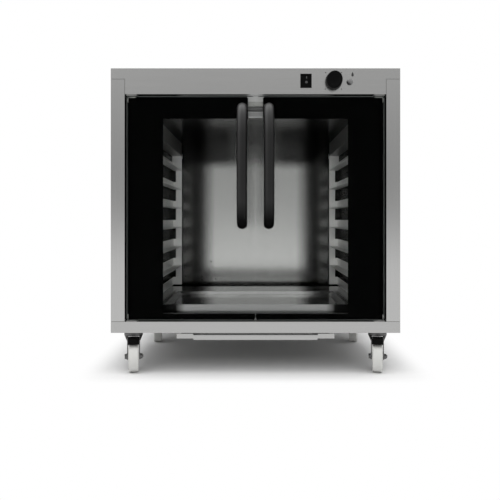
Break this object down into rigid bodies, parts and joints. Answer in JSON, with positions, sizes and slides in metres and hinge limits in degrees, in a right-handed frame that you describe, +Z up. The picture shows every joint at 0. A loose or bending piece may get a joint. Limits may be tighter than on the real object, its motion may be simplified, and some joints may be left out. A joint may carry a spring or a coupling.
{
  "type": "dough proofer",
  "caption": "Stainless steel dough proofer cabinet with black-bordered glass doors, tray racks, water tray and castors.",
  "frame": {"origin": "centre of the bounding box in plan, on the floor under the castor wheels", "axes": "+Z up, -Y towards the doors at the front, +X to the right seen from the front"},
  "size_m": [0.784, 0.738, 0.83],
  "materials": {
    "body_steel": "satin brushed stainless sheet",
    "chamber_steel": "brushed stainless liner, slightly mirrored",
    "rack_steel": "bent stainless sheet and strip",
    "door_glass": "clear toughened glass",
    "border_print": "black fired print behind the glass",
    "handle_black": "black moulded handle, fine satin",
    "control_black": "black moulded plastic",
    "lamp_lens": "clear moulded lens",
    "pale_plastic": "pale moulded plastic",
    "gasket_rubber": "black silicone rubber",
    "zinc_steel": "bright zinc plated steel",
    "fork_steel": "dark pressed steel",
    "wheel_nylon": "light grey nylon",
    "pedal_rubber": "black rubber cover",
    "insulation_wool": "mineral wool slab",
    "copper_tube": "drawn copper",
    "wire_jacket": "plastic wire jacket"
  },
  "bodies": {
    "cabinet": {"base_tray": "body_steel", "side_panel_left": "body_steel", "side_panel_right": "body_steel", "top_panel": "body_steel", "back_panel": "body_steel", "control_fascia": "body_steel", "front_frame": "chamber_steel", "cavity_floor": "chamber_steel", "cavity_ceiling": "chamber_steel", "cavity_wall_left": "chamber_steel", "cavity_wall_right": "chamber_steel", "cavity_back": "chamber_steel", "insulation": "insulation_wool", "rack_left": "rack_steel", "rack_right": "rack_steel", "rack_hangers": "rack_steel", "air_ducts": "chamber_steel", "water_tray": "chamber_steel", "heating_element": "fork_steel", "door_gasket": "gasket_rubber", "magnet_catch": "zinc_steel", "hinge_brackets": "zinc_steel", "thermostat_body": "pale_plastic", "thermostat_sensor": "copper_tube", "switch_housing": "control_black", "pilot_lamp_body": "pale_plastic", "pilot_lamp_lens": "lamp_lens", "terminal_block": "pale_plastic", "wiring": "wire_jacket", "cable_gland": "control_black", "earth_stud": "copper_tube", "drip_tray_runners": "body_steel", "castor_plates": "zinc_steel", "cabinet_screws": "zinc_steel"},
    "door_left": {"door_glass_left": "door_glass", "door_border_left": "border_print", "door_frame_left": "body_steel", "door_fittings_left": "zinc_steel", "door_handle_left": "handle_black", "handle_screws_left": "zinc_steel"},
    "door_right": {"door_glass_right": "door_glass", "door_border_right": "border_print", "door_frame_right": "body_steel", "door_fittings_right": "zinc_steel", "door_handle_right": "handle_black", "handle_screws_right": "zinc_steel"},
    "thermostat_knob": {"thermostat_knob": "control_black", "thermostat_spindle": "zinc_steel"},
    "switch_rocker": {"switch_rocker": "control_black"},
    "drip_tray": {"drip_tray": "body_steel"},
    "fork_front_left": {"castor_fork_front_left": "fork_steel"},
    "wheel_front_left": {"castor_wheel_front_left": "wheel_nylon"},
    "fork_front_right": {"castor_fork_front_right": "fork_steel"},
    "wheel_front_right": {"castor_wheel_front_right": "wheel_nylon"},
    "fork_rear_left": {"castor_fork_rear_left": "fork_steel"},
    "wheel_rear_left": {"castor_wheel_rear_left": "wheel_nylon"},
    "fork_rear_right": {"castor_fork_rear_right": "fork_steel"},
    "wheel_rear_right": {"castor_wheel_rear_right": "wheel_nylon"},
    "pedal_front_left": {"brake_pedal_front_left": "pedal_rubber"},
    "pedal_front_right": {"brake_pedal_front_right": "pedal_rubber"}
  },
  "joints": [
    {"name": "left_door_hinge", "type": "hinge", "parent": "cabinet", "child": "door_left", "pos_m": [-0.337, -0.299, 0.45], "axis": [0, 0, -1], "range_deg": [0, 110]},
    {"name": "right_door_hinge", "type": "hinge", "parent": "cabinet", "child": "door_right", "pos_m": [0.337, -0.299, 0.45], "axis": [0, 0, 1], "range_deg": [0, 110]},
    {"name": "thermostat_turn", "type": "hinge", "parent": "cabinet", "child": "thermostat_knob", "pos_m": [0.212, -0.322, 0.7957], "axis": [0, 1, 0], "range_deg": [0, 270]},
    {"name": "switch_rock", "type": "hinge", "parent": "cabinet", "child": "switch_rocker", "pos_m": [0.1367, -0.3095, 0.7957], "axis": [-1, 0, 0], "range_deg": [0, 16]},
    {"name": "drip_tray_slide", "type": "slide", "parent": "cabinet", "child": "drip_tray", "axis": [0, -1, 0], "range_m": [0, 0.25]},
    {"name": "castor_swivel_front_left", "type": "hinge", "parent": "cabinet", "child": "fork_front_left", "pos_m": [-0.343, -0.247, 0.1], "axis": [0, 0, 1], "continuous": true},
    {"name": "wheel_roll_front_left", "type": "hinge", "parent": "fork_front_left", "child": "wheel_front_left", "pos_m": [-0.33728, -0.27645, 0.042], "axis": [0.9816, 0.1908, 0], "continuous": true},
    {"name": "castor_swivel_front_right", "type": "hinge", "parent": "cabinet", "child": "fork_front_right", "pos_m": [0.343, -0.247, 0.1], "axis": [0, 0, 1], "continuous": true},
    {"name": "wheel_roll_front_right", "type": "hinge", "parent": "fork_front_right", "child": "wheel_front_right", "pos_m": [0.33728, -0.27645, 0.042], "axis": [0.9816, -0.1908, 0], "continuous": true},
    {"name": "castor_swivel_rear_left", "type": "hinge", "parent": "cabinet", "child": "fork_rear_left", "pos_m": [-0.343, 0.168, 0.1], "axis": [0, 0, 1], "continuous": true},
    {"name": "wheel_roll_rear_left", "type": "hinge", "parent": "fork_rear_left", "child": "wheel_rear_left", "pos_m": [-0.33728, 0.13855, 0.042], "axis": [0.9816, 0.1908, 0], "continuous": true},
    {"name": "castor_swivel_rear_right", "type": "hinge", "parent": "cabinet", "child": "fork_rear_right", "pos_m": [0.343, 0.168, 0.1], "axis": [0, 0, 1], "continuous": true},
    {"name": "wheel_roll_rear_right", "type": "hinge", "parent": "fork_rear_right", "child": "wheel_rear_right", "pos_m": [0.33728, 0.13855, 0.042], "axis": [0.9816, -0.1908, 0], "continuous": true},
    {"name": "brake_pedal_left", "type": "hinge", "parent": "fork_front_left", "child": "pedal_front_left", "pos_m": [-0.33804, -0.27252, 0.0915], "axis": [0.9816, 0.1908, 0], "range_deg": [0, 10]},
    {"name": "brake_pedal_right", "type": "hinge", "parent": "fork_front_right", "child": "pedal_front_right", "pos_m": [0.33804, -0.27252, 0.0915], "axis": [0.9816, -0.1908, 0], "range_deg": [0, 10]}
  ]
}
